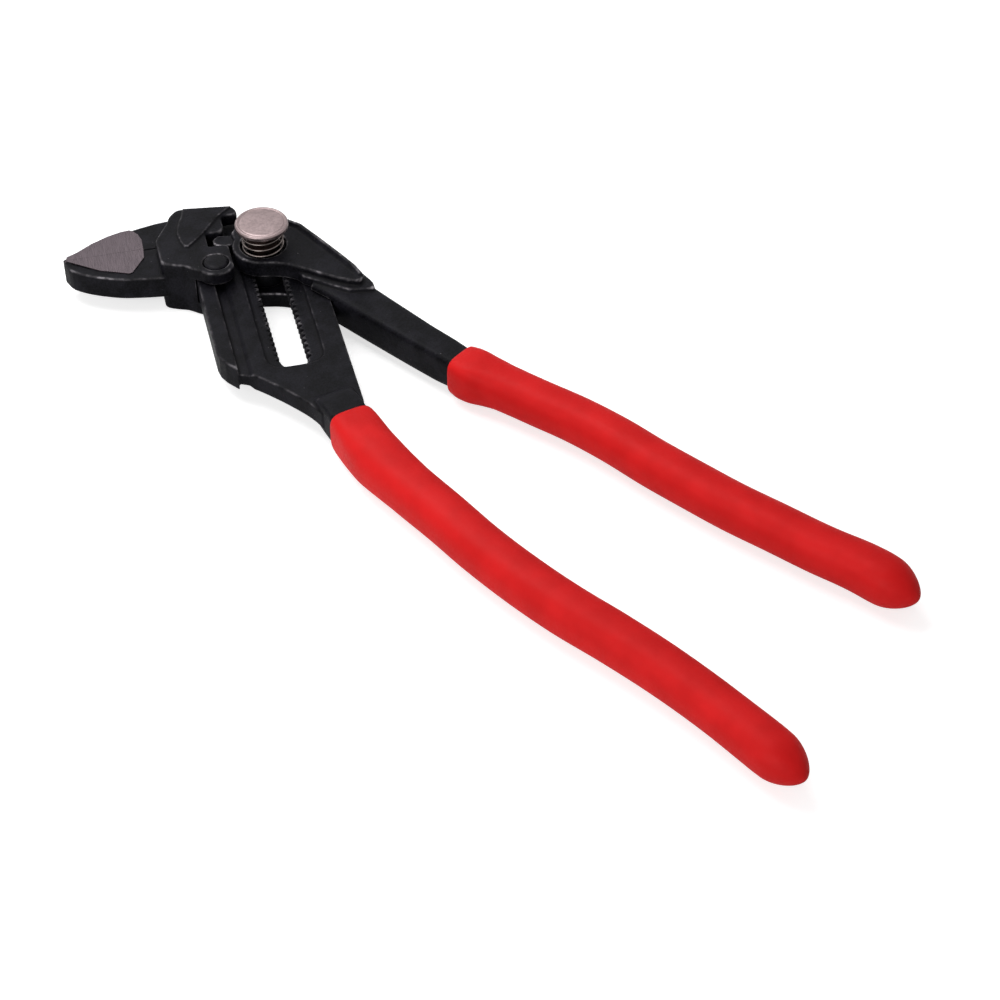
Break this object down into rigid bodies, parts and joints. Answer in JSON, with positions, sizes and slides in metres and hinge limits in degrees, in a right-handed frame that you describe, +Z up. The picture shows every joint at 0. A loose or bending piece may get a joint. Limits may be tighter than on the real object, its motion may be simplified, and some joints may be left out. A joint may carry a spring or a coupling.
{
  "type": "pliers wrench",
  "caption": "Push-button adjustable pliers wrench: smooth parallel jaws, one sliding on rails, a toothed slot under a sprung bolt, and curved levers with dipped grips.",
  "frame": {"origin": "centre of the bounding box's footprint, on the surface that the tool lies on", "axes": "+Y from the grips to the jaws, along the guide rails in the direction in which the sliding jaw closes; -X towards the jaw tips; +Z up out of the push button, along the bolt"},
  "size_m": [0.1686, 0.218, 0.0214],
  "materials": {
    "forged_steel": "black-oxide forged steel, satin, with worn bright edges and ground jaw faces",
    "pin_steel": "dark steel, satin, with a bright rim",
    "bolt_steel": "brown-tempered steel, satin",
    "button_nickel": "satin nickel, finely turned",
    "spring_wire": "bright spring wire",
    "dipped_grip": "satin red dip coating with a fine grain"
  },
  "bodies": {
    "fixed_lever": {"fixed_jaw_lever": "forged_steel", "fixed_lever_grip": "dipped_grip"},
    "carriage": {"thrust_washer": "bolt_steel", "button_spring": "spring_wire"},
    "crossing_lever": {"crossing_lever": "forged_steel", "crossing_lever_grip": "dipped_grip"},
    "bolt": {"joint_bolt": "bolt_steel", "push_button": "button_nickel"},
    "sliding_jaw": {"sliding_jaw": "forged_steel", "front_guide_pin": "pin_steel", "back_guide_pin": "pin_steel"}
  },
  "joints": [
    {"name": "adjust", "type": "slide", "parent": "fixed_lever", "child": "carriage", "axis": [0, -1, 0], "range_m": [0, 0.036]},
    {"name": "swing", "type": "hinge", "parent": "carriage", "child": "crossing_lever", "pos_m": [-0.03425, 0.0871, 0.00725], "axis": [0, 0, 1], "range_deg": [0, 16]},
    {"name": "push", "type": "slide", "parent": "carriage", "child": "bolt", "axis": [0, 0, -1], "range_m": [0, 0.0049], "stiffness_N_per_m": 1500, "deforming": ["button_spring"]},
    {"name": "jaw_travel", "type": "slide", "parent": "carriage", "child": "sliding_jaw", "axis": [0, -1, 0], "range_m": [0, 0.003]}
  ],
  "couplings": [
    {"joint": "jaw_travel", "follows": "swing", "m_per_rad": 0.01053}
  ]
}
